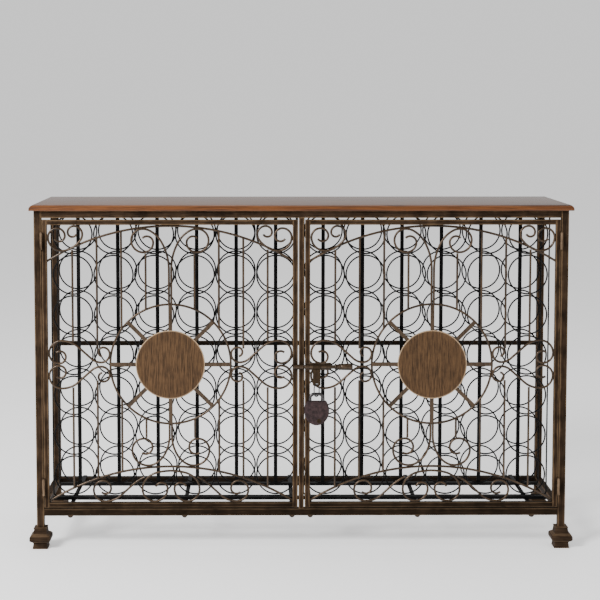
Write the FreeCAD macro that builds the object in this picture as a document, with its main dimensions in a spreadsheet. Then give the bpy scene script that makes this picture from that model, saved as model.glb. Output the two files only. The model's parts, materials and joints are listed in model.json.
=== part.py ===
import FreeCAD, Part
import Sketcher
import math
import os
import re

# A free-standing wrought-iron wine cabinet: a wooden top on a square-tube frame, two grille doors
# with scrollwork, two wire ring racks, and a slide bolt with a hanging padlock.
# Millimetres. X runs to the right, Y to the back and Z up. The origin is on the floor, under the middle.

SIZES = {
    # Gaps that are shared by many pieces
    "seat_gap": 0.3,
    "cut_overrun": 2,
    # Rings and the wire frame that holds them
    "ring_outside": 107.3,
    "ring_wire": 4,
    "ring_gap": 0.7,
    "runner_wire": 3.8,
    "runner_end": 8,
    "hoop_corner": 10,
    "rack_front_depth": 98,
    "rack_spread": 116,
    "rack_centre_gap": 13.3,
    "rack_side_gap": 10.65,
    "rack_top_gap": 7.3,
    "back_strip_width": 10,
    "back_strip_thickness": 3,
    "back_strip_gap": 0.6,
    # Square-tube frame
    "body_depth": 345,
    "post_width": 19,
    "post_wall": 1.5,
    "bottom_rail_base": 85.5,
    "mid_rail_width": 12,
    "mid_rail_base": 482,
    "mullion_width": 13,
    "base_bar_depth": 12,
    "base_bar_height": 8,
    "bearer_width": 11,
    "bearer_thickness": 2.5,
    "bearer_setback": 1.5,
    "inner_bearer_reach": 24,
    "middle_bearer_reach": 306,
    "outer_bearer_inset": 68,
    "bolt_head_radius": 7.5,
    "bolt_radius": 2.5,
    "bolt_clearance": 0.3,
    # Wooden top
    "top_thickness": 15,
    "top_overhang": 11,
    "top_edge_round": 9,
    # Cast feet
    "foot_base_width": 39.6,
    "foot_neck_width": 34.5,
    "foot_flange_width": 54.5,
    "foot_collar_width": 35.5,
    "foot_top_width": 31.5,
    "foot_base_height": 14.5,
    "foot_flare_height": 8,
    "foot_flange_height": 10.5,
    "foot_shoulder_height": 5.5,
    "foot_collar_height": 16.5,
    # Door frames
    "door_tube": 13,
    "door_wall": 1.2,
    "door_hinge_gap": 1.5,
    "door_mullion_gap": 3,
    "door_top_gap": 5,
    "door_bottom_gap": 3,
    # Door grille: a front layer of scrolls and upright rods, and a rear layer of arches and ring
    "layer_gap": 0.4,
    "scroll_rod": 5.6,
    "arch_rod": 5.8,
    "arch_rise": 91,
    "bar_pitch": 63.3,
    "medallion_radius": 157,
    "medallion_rod": 5.6,
    "spoke_width": 10,
    "disc_radius": 90,
    "disc_thickness": 1.8,
    "disc_rim": 3.2,
    "corner_scroll_width": 88,
    # Barrel hinges
    "hinge_radius": 4.5,
    "hinge_pin_radius": 2.5,
    "hinge_pin_clearance": 0.05,
    "hinge_reach": 5,
    "hinge_length": 43,
    "hinge_inset": 33.5,
    "hinge_knuckle_gap": 0.6,
    "hinge_web": 3,
    "hinge_cap_radius": 3.6,
    "hinge_cap_height": 1.5,
    # Slide bolt, its guides and keeper
    "latch_drop": 4.5,
    "latch_reach": 9,
    "latch_rod_radius": 4.8,
    "latch_clearance": 0.35,
    "latch_sleeve_radius": 6.7,
    "latch_sleeve_length": 9,
    "latch_plate_height": 19,
    "latch_plate_thickness": 1.8,
    "latch_sleeve_spacing": 59,
    "keeper_length": 25.4,
    "keeper_reach": 4.7,
    "tip_gap": 0.6,
    "grip_gap": 9.1,
    "grip_collar_radius": 8,
    "grip_collar_length": 4,
    "grip_neck_radius": 6.6,
    "grip_neck_length": 6,
    "grip_end_radius": 8.6,
    "grip_length": 33,
    "grip_tip_length": 3,
    # Hasp tab, lock ring and padlock
    "tab_width": 20,
    "tab_thickness": 3,
    "tab_drop": 51,
    "tab_gap": 10.7,
    "tab_slot_width": 8,
    "tab_slot_height": 4.4,
    "tab_web": 2.6,
    "tab_corner": 5,
    "lock_ring_radius": 9.5,
    "lock_ring_length": 31.1,
    "lock_ring_wire": 3,
    "shackle_wire": 8,
    "shackle_radius": 17,
    "shackle_corner": 11,
    "shackle_leg": 7,
    "shackle_toe": 9,
    "shackle_heel": 24,
    "shackle_clearance": 0.35,
    "padlock_half_width": 32.5,
    "padlock_half_height": 38.5,
    "padlock_shoulder": 25,
    "padlock_thickness": 16,
    "padlock_edge": 3,
    "plug_radius": 5.5,
    "plug_depth": 6,
    "plug_shift": 6,
    "plug_height": 12,
    "key_slot_width": 1.6,
    "key_slot_height": 7,
    "key_slot_depth": 4,
}

# Counts, not lengths
RING_COLUMNS = 6
RING_ROWS = 7
SPOKES = 8
PATH_SAMPLES = 4000

PLACES = {
    # Heights of the rack, counted up from the bottom rails
    "rail_top": "Sizes.bottom_rail_base + Sizes.post_width",
    "bearer_top": "rail_top + Sizes.bearer_thickness",
    "low_runner": "bearer_top + Sizes.seat_gap + Sizes.runner_wire / 2",
    "hoop_low": "low_runner + Sizes.runner_wire / 2 + Sizes.seat_gap + Sizes.ring_wire / 2",
    "ring_pitch": "Sizes.ring_outside + Sizes.ring_gap",
    "cell_edge": "Sizes.ring_wire / 2 + Sizes.ring_gap + Sizes.ring_outside / 2",
    "first_row": "hoop_low + cell_edge",
    "hoop_high": f"first_row + ring_pitch * {RING_ROWS - 1} + cell_edge",
    "high_runner": "hoop_high + Sizes.ring_wire / 2 + Sizes.seat_gap + Sizes.runner_wire / 2",
    "frame_height": "high_runner + Sizes.runner_wire / 2 + Sizes.rack_top_gap",
    # Widths, counted out from the middle of the cabinet
    "hoop_inner": "Sizes.rack_centre_gap / 2 + Sizes.ring_wire / 2",
    "first_column": "hoop_inner + cell_edge",
    "hoop_outer": f"first_column + ring_pitch * {RING_COLUMNS - 1} + cell_edge",
    "post_inner": "hoop_outer + Sizes.ring_wire / 2 + Sizes.rack_side_gap",
    "post_outer": "post_inner + Sizes.post_width",
    "post_middle": "post_inner + Sizes.post_width / 2",
    "outer_bearer_reach": "post_inner - Sizes.outer_bearer_inset",
    # Depths
    "front": "-Sizes.body_depth / 2",
    "back": "Sizes.body_depth / 2",
    "rack_front": "front + Sizes.rack_front_depth",
    "rack_back": "rack_front + Sizes.rack_spread",
    # Frame
    "foot_height": "Sizes.foot_base_height + Sizes.foot_flare_height + Sizes.foot_flange_height"
                   " + Sizes.foot_shoulder_height + Sizes.foot_collar_height",
    "top_rail_base": "frame_height - Sizes.post_width",
    # Doors
    "door_outer": "post_inner - Sizes.door_hinge_gap",
    "door_inner": "Sizes.mullion_width / 2 + Sizes.door_mullion_gap",
    "door_base": "rail_top + Sizes.door_bottom_gap",
    "door_head": "top_rail_base - Sizes.door_top_gap",
    "door_middle": "(door_outer + door_inner) / 2",
    "door_centre": "(door_base + door_head) / 2",
    "open_half_width": "(door_outer - door_inner) / 2 - Sizes.door_tube",
    "open_half_height": "(door_head - door_base) / 2 - Sizes.door_tube",
    "scroll_layer": "Sizes.layer_gap + Sizes.scroll_rod / 2",
    "arch_layer": "scroll_layer + Sizes.scroll_rod / 2 + Sizes.layer_gap + Sizes.arch_rod / 2",
    "arch_peak": "open_half_height - Sizes.seat_gap - Sizes.arch_rod / 2",
    "low_arch_peak": "-open_half_height + Sizes.arch_rise + Sizes.arch_rod / 2 + Sizes.seat_gap",
    "spoke_front": "Sizes.layer_gap + Sizes.disc_thickness + Sizes.seat_gap",
    "spoke_back": "arch_layer - Sizes.medallion_rod / 2 - Sizes.seat_gap",
    # Hinges
    "hinge_axis_x": "post_inner - Sizes.door_hinge_gap / 2",
    "hinge_axis_y": "front - Sizes.hinge_reach",
    "low_hinge_base": "door_base + Sizes.hinge_inset",
    "high_hinge_base": "door_head - Sizes.hinge_inset - Sizes.hinge_length",
    # Latch, from its tip on the left to its grip on the right
    "latch_y": "front - Sizes.latch_reach",
    "latch_z": "door_centre - Sizes.latch_drop",
    "latch_tip": "Sizes.keeper_reach + Sizes.tip_gap",
    "near_sleeve": "door_inner + Sizes.seat_gap",
    "far_sleeve": "near_sleeve + Sizes.latch_sleeve_spacing",
    "grip_base": "far_sleeve + Sizes.latch_sleeve_length + Sizes.grip_gap",
    "tab_base": "near_sleeve + Sizes.latch_sleeve_length + Sizes.tab_gap",
    "tab_middle": "tab_base + Sizes.tab_width / 2",
    "tab_foot": "latch_z - Sizes.tab_drop",
    "lock_ring_top": "tab_foot + Sizes.tab_web + 2 * Sizes.seat_gap + Sizes.lock_ring_wire / 2",
    "lock_ring_low": "lock_ring_top - Sizes.lock_ring_length",
    "shackle_top": "lock_ring_low + (Sizes.lock_ring_wire + Sizes.shackle_wire) / 2 + 2 * Sizes.seat_gap",
    "shackle_bend": "shackle_top - Sizes.shackle_corner",
    "padlock_top": "shackle_bend - Sizes.shackle_leg",
    "padlock_centre": "padlock_top - Sizes.padlock_shoulder",
    "plug_z": "padlock_centre - Sizes.padlock_half_height + Sizes.plug_height",
}

# Scrolls as tangent pieces, from one end to the other. Each pair is a radius, as a share of the size
# that the scroll fills, and a turn in degrees, to the left when positive. A turn of 0 is a straight run.
CORNER_SCROLL_SHARES = (
    (0.134, -150), (0.182, -90), (0.244, -90), (0.283, -40), (0.893, -25), (0.565, -25),
    (0.402, -90), (0.274, -90), (0.226, -90), (0.167, -90), (0.164, -60),
)
HIGH_CROOK_SHARES = (
    (0.45, 0), (0.70, -30), (0.37, -30), (0.20, -30), (0.145, -90), (0.153, -90), (0.125, -90),
    (0.08, -90), (0.08, -45),
)
LOW_CROOK_SHARES = (
    (0.27, 0), (0.88, -30), (0.56, -30), (0.35, -30), (0.36, -90), (0.265, -90), (0.2, -90),
    (0.157, -90), (0.15, -35),
)
SIDE_SCROLL_SHARES = (
    (0.070, 80), (0.076, 90), (0.106, 90), (0.138, 90), (0.230, 42), (0.290, 0),
    (0.392, -42), (0.205, -90), (0.164, -90), (0.105, -90), (0.093, -90), (0.09, -40),
)
BASE_SCROLL_HALF_SHARES = (
    (0.18, -70), (0.186, -90), (0.393, -90), (0.378, -90), (0.484, -45), (0.665, -30), (1.69, -15),
)
COMMA_SCROLL_SHARES = (
    (1.52, 18), (0.43, 0), (0.73, -43), (0.355, -90), (0.29, -90), (0.243, -90), (0.168, -90),
    (0.168, -45),
)
# How far the comma scrolls reach in over the base scroll, as a share of its height
COMMA_LAP_SHARE = 0.1
# Directions of the first piece of each scroll, in degrees up from the right
CORNER_START = 243
CROOK_START = 90
SIDE_START = 10
BASE_START = 70
COMMA_START = 205
# How far the lock ring stands turned from the face of the tab, in degrees
LOCK_RING_TURN = 45

TURNS = {
    "x": FreeCAD.Rotation(FreeCAD.Vector(0, 1, 0), 90),
    "y": FreeCAD.Rotation(FreeCAD.Vector(1, 0, 0), -90),
    "z": FreeCAD.Rotation(),
}
BEVEL = FreeCAD.Rotation(FreeCAD.Vector(0, 1, 0), 45)
ACROSS = FreeCAD.Vector(1, 0, 0)
UPWARD = FreeCAD.Vector(0, 0, 1)

doc = FreeCAD.newDocument("wine_cabinet")
parts = []


def fill_sheet(name, rows):
    """Write one row per alias, its name beside its value."""
    sheet = doc.addObject("Spreadsheet::Sheet", name)
    for number, (alias, content) in enumerate(rows.items(), start=1):
        sheet.set(f"A{number}", alias)
        sheet.set(f"B{number}", str(content))
        sheet.setAlias(f"B{number}", alias)
    doc.recompute()
    return sheet


sizes = fill_sheet("Sizes", SIZES)
places = fill_sheet("Places", {alias: f"={formula}" for alias, formula in PLACES.items()})


def value(alias):
    """The number behind a size or a place."""
    sheet = sizes if alias in SIZES else places
    return float(getattr(sheet, alias))


def link(formula):
    """Name the sheet of each size and place in a formula."""
    def owner(word):
        alias = word.group()
        if alias in SIZES:
            return f"Sizes.{alias}"
        return f"Places.{alias}" if alias in PLACES else alias
    return re.sub(r"[a-z][a-z_]+", owner, formula)


def bind(item, properties, formulas):
    """Bind the properties of an object to formulas, in order."""
    for name, formula in zip(properties, formulas):
        item.setExpression(name, link(formula))
    return item


def place(item, corner):
    """Bind an object's place to three formulas."""
    return bind(item, ("Placement.Base.x", "Placement.Base.y", "Placement.Base.z"), corner)


def node(item, label):
    """Give a finished sub-part the label that names its file."""
    item.Label = label
    parts.append(item)
    return item


def box(name, corner, spans):
    """A block from its low corner and its spans along X, Y and Z."""
    item = place(doc.addObject("Part::Box", name), corner)
    return bind(item, ("Length", "Width", "Height"), spans)


def cylinder(name, start, radius, length, along):
    """A round bar from the middle of its first end."""
    item = doc.addObject("Part::Cylinder", name)
    item.Placement = FreeCAD.Placement(FreeCAD.Vector(), TURNS[along])
    place(item, start)
    return bind(item, ("Radius", "Height"), (radius, length))


def cone(name, start, low_radius, high_radius, length, along):
    """A tapered round bar from the middle of its first end."""
    item = doc.addObject("Part::Cone", name)
    item.Placement = FreeCAD.Placement(FreeCAD.Vector(), TURNS[along])
    place(item, start)
    return bind(item, ("Radius1", "Radius2", "Height"), (low_radius, high_radius, length))


def torus(name, centre, radius, wire_radius, along):
    """A wire ring about an axis."""
    item = doc.addObject("Part::Torus", name)
    item.Placement = FreeCAD.Placement(FreeCAD.Vector(), TURNS[along])
    place(item, centre)
    return bind(item, ("Radius1", "Radius2"), (radius, wire_radius))


def frustum(name, base, low_width, high_width, height):
    """A square block that tapers upwards, from the middle of its base."""
    item = doc.addObject("Part::Wedge", name)
    item.Placement = FreeCAD.Placement(FreeCAD.Vector(), FreeCAD.Rotation(FreeCAD.Vector(1, 0, 0), 90))
    place(item, base)
    item.Ymin = 0
    low, high = f"({low_width}) / 2", f"({high_width}) / 2"
    limits = ("Xmin", "Zmin", "Xmax", "Zmax", "X2min", "Z2min", "X2max", "Z2max", "Ymax")
    return bind(item, limits, (f"-{low}", f"-{low}", low, low, f"-{high}", f"-{high}", high, high, height))


def cut(name, base, tool):
    """One solid less another."""
    item = doc.addObject("Part::Cut", name)
    item.Base, item.Tool = base, tool
    return item


def fuse(name, pieces):
    """Several solids joined into one."""
    item = doc.addObject("Part::MultiFuse", name)
    item.Shapes = pieces
    item.Refine = True
    return item


def group(name, pieces):
    """Several separate solids that share a node."""
    item = doc.addObject("Part::Compound", name)
    item.Links = pieces
    return item


def square_tube(name, corner, spans, along, wall):
    """A hollow bar, open at both ends of the axis that it runs along."""
    outside = box(f"{name}_outside", corner, spans)
    inset = ["-cut_overrun" if axis == along else wall for axis in "xyz"]
    hollow_corner = [f"({low}) + ({step})" for low, step in zip(corner, inset)]
    hollow_spans = [f"({span}) - 2 * ({step})" for span, step in zip(spans, inset)]
    return cut(f"{name}_tube", outside, box(f"{name}_hollow", hollow_corner, hollow_spans))


def solids(name, shapes, base):
    """Solids made from the sheet's numbers, placed by formulas."""
    item = doc.addObject("Part::Feature", name)
    item.Shape = Part.makeCompound(shapes)
    return place(item, base)


def sided(side, formula):
    """A formula on the right of the cabinet, mirrored for the left."""
    return formula if side == "right" else f"-({formula})"


def low_edge(side, inner, outer):
    """The low X edge of a piece that spans from inner to outer on one side."""
    return inner if side == "right" else f"-({outer})"


def wooden_top():
    """The top board, flush at the back, with its front and side edges rounded over."""
    body = doc.addObject("PartDesign::Body", "TopBody")
    plane = next(item for item in body.Origin.OriginFeatures if item.Role == "XY_Plane")
    sketch = body.newObject("Sketcher::SketchObject", "TopOutline")
    sketch.AttachmentSupport = (plane, "")
    sketch.MapMode = "FlatFace"
    half, depth = value("post_outer") + value("top_overhang"), value("body_depth") + value("top_overhang")
    corners = [(-half, -depth / 2), (half, -depth / 2), (half, depth / 2), (-half, depth / 2)]
    points = [FreeCAD.Vector(x, y, 0) for x, y in corners]
    for start, end in zip(points, points[1:] + points[:1]):
        sketch.addGeometry(Part.LineSegment(start, end))
    for edge in range(4):
        sketch.addConstraint(Sketcher.Constraint("Coincident", edge, 2, (edge + 1) % 4, 1))
        sketch.addConstraint(Sketcher.Constraint("Vertical" if edge % 2 else "Horizontal", edge))
    sketch.addConstraint(Sketcher.Constraint("Symmetric", 0, 1, 1, 2, -1, 1))
    width = sketch.addConstraint(Sketcher.Constraint("DistanceX", 0, 1, 0, 2, 2 * half))
    length = sketch.addConstraint(Sketcher.Constraint("DistanceY", 1, 1, 1, 2, depth))
    sketch.setExpression(f"Constraints[{width}]", link("2 * (post_outer + top_overhang)"))
    sketch.setExpression(f"Constraints[{length}]", link("body_depth + top_overhang"))
    pad = body.newObject("PartDesign::Pad", "TopBoard")
    pad.Profile = sketch
    bind(pad, ("Length",), ("top_thickness",))
    doc.recompute()
    upper = value("top_thickness")
    rounded = []
    for number, edge in enumerate(pad.Shape.Edges, start=1):
        middle = edge.BoundBox.Center
        if abs(middle.z - upper) < value("seat_gap") and middle.y < depth / 2 - value("top_overhang"):
            rounded.append(f"Edge{number}")
    fillet = body.newObject("PartDesign::Fillet", "TopEdge")
    fillet.Base = (pad, rounded)
    bind(fillet, ("Radius",), ("top_edge_round",))
    place(body, ("0", "-top_overhang / 2", "frame_height"))
    node(body, "wood_top")


def bearer_reaches():
    """The X places of the bearers, in formulas."""
    reaches = ("inner_bearer_reach", "middle_bearer_reach", "outer_bearer_reach")
    return [sided(side, reach) for side in ("left", "right") for reach in reaches]


def bolt_rows():
    """The Y places of the bolts through the front and back bottom rails."""
    return ("front + post_width / 2", "back - post_width / 2")


def bolt_hole(name, reach, row):
    """A clearance hole up through a bottom rail and a bearer."""
    start = (reach, row, "bottom_rail_base - cut_overrun")
    return cylinder(name, start, "bolt_radius + bolt_clearance", "post_width + 4 * cut_overrun", "z")


def frame():
    """Posts on their feet, the rails between them and the mullion."""
    post_spans = ("post_width", "post_width", "frame_height - foot_height")
    for side in ("left", "right"):
        for end, depth in (("front", "front"), ("back", "back - post_width")):
            corner = (low_edge(side, "post_inner", "post_outer"), depth, "foot_height")
            post = square_tube(f"{end}_{side}_tube", corner, post_spans, "z", "post_wall")
            node(post, f"{end}_{side}_post")
            foot(f"{end}_{side}_foot", sided(side, "post_middle"), f"{depth} + post_width / 2")
    for level, base in (("top", "top_rail_base"), ("bottom", "bottom_rail_base")):
        for row, (end, depth) in enumerate((("front", "front"), ("back", "back - post_width"))):
            spans = ("2 * post_inner", "post_width", "post_width")
            rail = square_tube(f"{end}_{level}", ("-post_inner", depth, base), spans, "x", "post_wall")
            if level == "bottom":
                holes = [bolt_hole(f"{end}_rail_hole", reach, bolt_rows()[row]) for reach in bearer_reaches()]
                rail = cut(f"{end}_{level}_drilled", rail, group(f"{end}_rail_holes", holes))
            node(rail, f"{end}_{level}_rail")
        for side in ("left", "right"):
            corner = (low_edge(side, "post_inner", "post_outer"), "front + post_width", base)
            spans = ("post_width", "body_depth - 2 * post_width", "post_width")
            node(square_tube(f"{side}_{level}", corner, spans, "y", "post_wall"), f"{side}_{level}_rail")
    corner = ("-post_inner", "back - (post_width + mid_rail_width) / 2", "mid_rail_base")
    spans = ("2 * post_inner", "mid_rail_width", "mid_rail_width")
    node(square_tube("back_mid", corner, spans, "x", "post_wall"), "back_mid_rail")
    corner = ("-mullion_width / 2", "front", "rail_top")
    spans = ("mullion_width", "mullion_width", "top_rail_base - rail_top")
    node(square_tube("mullion", corner, spans, "z", "door_wall"), "centre_mullion")


def foot(label, middle_x, middle_y):
    """A cast pedestal foot: a base, a wide flange and a collar that the post stands on."""
    profile = (
        ("foot_base_width", "foot_neck_width", "foot_base_height"),
        ("foot_neck_width", "foot_flange_width", "foot_flare_height"),
        ("foot_flange_width", "foot_flange_width", "foot_flange_height"),
        ("foot_flange_width", "foot_collar_width", "foot_shoulder_height"),
        ("foot_collar_width", "foot_top_width", "foot_collar_height"),
    )
    base, tiers = "0", []
    for low_width, high_width, height in profile:
        tiers.append(frustum(f"{label}_tier", (middle_x, middle_y, base), low_width, high_width, height))
        base = f"{base} + {height}"
    node(fuse(f"{label}_casting", tiers), label)


def bearers():
    """Flat bars from the front rail to the back rail, bolted down through the rails."""
    bars, bolts = [], []
    for reach in bearer_reaches():
        corner = (f"{reach} - bearer_width / 2", "front + bearer_setback", "rail_top")
        spans = ("bearer_width", "body_depth - 2 * bearer_setback", "bearer_thickness")
        bar = box("bearer_bar", corner, spans)
        holes = [bolt_hole("bearer_hole", reach, row) for row in bolt_rows()]
        bars.append(cut("bearer", bar, group("bearer_holes", holes)))
        bolts += [domed_bolt(reach, row) for row in bolt_rows()]
    node(group("bearers", bars), "rack_bearers")
    node(group("bolts", bolts), "bearer_bolts")


def base_bars():
    """Two bars that lie across the bearers, one before the feet of the racks and one behind them."""
    rows = (
        ("front", "rack_front - runner_end - seat_gap - base_bar_depth"),
        ("back", "rack_back + runner_end + seat_gap"),
    )
    bars = []
    for end, depth in rows:
        corner = ("-hoop_outer", depth, "bearer_top + seat_gap")
        spans = ("2 * hoop_outer", "base_bar_depth", "base_bar_height")
        bars.append(square_tube(f"{end}_base", corner, spans, "x", "door_wall"))
    node(group("base_bars", bars), "rack_base_bars")


def domed_bolt(reach, row):
    """A bolt with a domed head under its rail, flush with the bearer on top."""
    head = doc.addObject("Part::Sphere", "bolt_head")
    head.Angle1, head.Angle2 = -90, 0
    place(bind(head, ("Radius",), ("bolt_head_radius",)), (reach, row, "bottom_rail_base"))
    length = "post_width + bearer_thickness"
    shank = cylinder("bolt_shank", (reach, row, "bottom_rail_base"), "bolt_radius", length, "z")
    return fuse("bolt", [head, shank])


def rack(side):
    """One ring rack: a front and a back plane of rings, and the wire frame that carries them."""
    for plane in ("front", "back"):
        rings = []
        for column in range(RING_COLUMNS):
            for row in range(RING_ROWS):
                reach = sided(side, f"first_column + {column} * ring_pitch")
                centre = (reach, f"rack_{plane}", f"first_row + {row} * ring_pitch")
                rings.append(torus("ring", centre, "(ring_outside - ring_wire) / 2", "ring_wire / 2", "y"))
        node(group(f"{side}_{plane}_rings", rings), f"{side}_rack_{plane}_rings")
    frame_pieces = [hoop(side, "rack_front"), hoop(side, "rack_back")]
    for height in ("low_runner", "high_runner"):
        for reach in ("inner_bearer_reach", "middle_bearer_reach", "outer_bearer_reach"):
            start = (sided(side, reach), "rack_front - runner_end", height)
            length = "rack_spread + 2 * runner_end"
            frame_pieces.append(cylinder("runner", start, "runner_wire / 2", length, "y"))
    strip_low = "hoop_low - ring_wire / 2"
    for column in range(RING_COLUMNS):
        reach = sided(side, f"first_column + {column} * ring_pitch")
        corner = (f"{reach} - back_strip_width / 2", "rack_back + ring_wire / 2 + back_strip_gap", strip_low)
        spans = ("back_strip_width", "back_strip_thickness", "hoop_high - hoop_low + ring_wire")
        frame_pieces.append(box("back_strip", corner, spans))
    node(group(f"{side}_frame", frame_pieces), f"{side}_rack_frame")


def hoop(side, depth):
    """The bent wire round one plane of rings."""
    inner, outer = value("hoop_inner"), value("hoop_outer")
    left, right = (inner, outer) if side == "right" else (-outer, -inner)
    low, high, bend = value("hoop_low"), value("hoop_high"), value("hoop_corner")
    steps = (
        (right - left - 2 * bend, 0), (bend, 90), (high - low - 2 * bend, 0), (bend, 90),
        (right - left - 2 * bend, 0), (bend, 90), (high - low - 2 * bend, 0), (bend, 90),
    )
    path = tangent_path(1, 0, steps)
    path.translate(FreeCAD.Vector(left + bend, 0, low))
    return solids("hoop", [rod_along(path, value("ring_wire") / 2)], ("0", depth, "0"))


def tangent_path(size, heading, steps):
    """A wire of tangent arcs and straight runs in the XZ plane, from the origin."""
    point, angle, edges = FreeCAD.Vector(), math.radians(heading), []
    for share, turn in steps:
        reach = share * size
        if turn == 0:
            end = point + FreeCAD.Vector(math.cos(angle), 0, math.sin(angle)) * reach
            edges.append(Part.LineSegment(point, end).toShape())
        else:
            side = math.copysign(1, turn)
            centre = point + FreeCAD.Vector(-math.sin(angle), 0, math.cos(angle)) * (side * reach)
            swing = math.radians(turn)
            start = angle - side * math.pi / 2
            middle, end = (on_circle(centre, reach, start + step) for step in (swing / 2, swing))
            edges.append(Part.Arc(point, middle, end).toShape())
            angle += swing
        point = end
    return Part.Wire(edges)


def on_circle(centre, radius, angle):
    """A point on a circle in the XZ plane."""
    return centre + FreeCAD.Vector(math.cos(angle), 0, math.sin(angle)) * radius


def rod_along(path, radius):
    """A round rod along a wire."""
    first = path.OrderedEdges[0]
    start = path.OrderedVertexes[0].Point
    tangent = first.tangentAt(first.FirstParameter)
    section = Part.Wire([Part.Circle(start, tangent, radius).toShape()])
    return Part.Solid(path.makePipeShell([section], True, False))


def seat(path, right=None, left=None, top=None, bottom=None):
    """Move a path so that the rod along it seats against the given lines."""
    clear = value("scroll_rod") / 2 + value("seat_gap")
    bounds = path.BoundBox
    across = right - clear - bounds.XMax if right is not None else left + clear - bounds.XMin
    upward = top - clear - bounds.ZMax if top is not None else bottom + clear - bounds.ZMin
    path.translate(FreeCAD.Vector(across, 0, upward))
    return path


def mirrored(path, normal):
    """A path and its mirror image about the middle of the door."""
    return [path, path.mirror(FreeCAD.Vector(), normal)]


def corner_scrolls():
    """The scrolls in the top corners, above the arch."""
    path = tangent_path(value("corner_scroll_width"), CORNER_START, CORNER_SCROLL_SHARES)
    seat(path, left=-value("open_half_width"), top=value("open_half_height"))
    return mirrored(path, ACROSS)


def high_crooks():
    """The pair of crooks that rise from the medallion to the upper arch."""
    base = value("medallion_radius")
    path = tangent_path(value("arch_peak") - base, CROOK_START, HIGH_CROOK_SHARES)
    return mirrored(seat(path, left=0, bottom=base - value("scroll_rod") / 2), ACROSS)


def low_crooks():
    """The pair of crooks that hang from the medallion to the lower arch."""
    base = -value("medallion_radius")
    path = tangent_path(base - value("low_arch_peak"), -CROOK_START, LOW_CROOK_SHARES)
    return mirrored(seat(path, right=0, top=base + value("scroll_rod") / 2), ACROSS)


def side_scrolls():
    """The double scrolls between the medallion and the stiles, above and below the middle."""
    width = value("open_half_width") - value("medallion_radius")
    path = tangent_path(width, SIDE_START, SIDE_SCROLL_SHARES)
    seat(path, right=value("open_half_width"), bottom=0)
    return [side for half in mirrored(path, UPWARD) for side in mirrored(half, ACROSS)]


def base_scroll():
    """The wide scroll under the lower arch."""
    height = value("arch_rise") - value("arch_rod")
    steps = BASE_SCROLL_HALF_SHARES + BASE_SCROLL_HALF_SHARES[::-1]
    path = tangent_path(height, BASE_START, steps)
    seat(path, left=0, bottom=-value("open_half_height"))
    path.translate(FreeCAD.Vector(-path.BoundBox.Center.x, 0, 0))
    return path


def comma_scrolls():
    """The scrolls that run out from the base scroll on both sides."""
    height = value("arch_rise") - value("arch_rod")
    path = tangent_path(height, COMMA_START, COMMA_SCROLL_SHARES)
    inner = base_scroll().BoundBox.XMin + height * COMMA_LAP_SHARE
    return mirrored(seat(path, right=inner, bottom=-value("open_half_height")), ACROSS)


def arch_radius():
    """The radius of an arch that rises in the middle of the door and ends at the stiles."""
    half, rise = value("open_half_width"), value("arch_rise")
    return (half ** 2 + rise ** 2) / (2 * rise)


def arch_height(peak, reach):
    """The height of an arch at a distance from the middle of the door."""
    return peak - arch_radius() + math.sqrt(arch_radius() ** 2 - reach ** 2)


def arch(peak):
    """The path of one arch, run out past both stiles."""
    radius = arch_radius()
    reach = math.asin((value("open_half_width") + value("arch_rod")) / radius)
    centre = FreeCAD.Vector(0, 0, peak - radius)
    ends = (on_circle(centre, radius, math.pi / 2 + step) for step in (reach, 0, -reach))
    return Part.Wire([Part.Arc(*ends).toShape()])


def contacts(path, reach):
    """The lowest and highest points of a scroll rod that an upright rod meets."""
    radius, lows, highs = value("scroll_rod") / 2, [], []
    for point in path.discretize(Number=PATH_SAMPLES):
        past = max(abs(point.x - reach) - radius, 0)
        if past < radius:
            lift = math.sqrt(radius ** 2 - past ** 2)
            lows.append(point.z - lift)
            highs.append(point.z + lift)
    return min(lows), max(highs)


def upright_rods():
    """The upright rods of one door, each from what it hangs on to what it stands on."""
    gap, ring = value("seat_gap"), value("medallion_radius")
    high_side, low_side = side_scrolls()[0], side_scrolls()[2]
    high_crook, low_crook, corner = high_crooks()[0], low_crooks()[1], corner_scrolls()[1]
    rods = []
    for number in (1, 2, 3, 4):
        reach = number * value("bar_pitch")
        high_end = arch_height(value("arch_peak"), reach)
        low_end = arch_height(value("low_arch_peak"), reach)
        if number == 1:
            high_end = contacts(high_crook, reach)[0] - gap
            low_end = contacts(low_crook, reach)[1] + gap
        if number == 4:
            high_end = min(high_end, contacts(corner, reach)[0] - gap)
        if number > 2:
            high_foot = contacts(high_side, reach)[1] + gap
            low_foot = contacts(low_side, reach)[0] - gap
        else:
            high_foot = math.sqrt(ring ** 2 - reach ** 2)
            low_foot = -high_foot
        for side in (-reach, reach):
            for low, high in ((high_foot, high_end), (low_end, low_foot)):
                base = FreeCAD.Vector(side, value("scroll_layer"), low)
                rods.append(Part.makeCylinder(value("scroll_rod") / 2, high - low, base, UPWARD))
    return rods


def arches():
    """Both arches, trimmed flush with the stiles."""
    half, tall, gap = value("open_half_width"), value("open_half_height"), value("seat_gap")
    corner = FreeCAD.Vector(gap - half, 0, gap - tall)
    opening = Part.makeBox(2 * (half - gap), value("door_tube"), 2 * (tall - gap), corner)
    trimmed = []
    for peak in (value("arch_peak"), value("low_arch_peak")):
        rod = rod_along(arch(peak), value("arch_rod") / 2)
        rod.translate(FreeCAD.Vector(0, value("arch_layer"), 0))
        trimmed.append(rod.common(opening).Solids[0])
    return trimmed


def front_rods(paths):
    """Scroll rods in the front layer of a door."""
    rods = [rod_along(path, value("scroll_rod") / 2) for path in paths]
    for rod in rods:
        rod.translate(FreeCAD.Vector(0, value("scroll_layer"), 0))
    return rods


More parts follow.
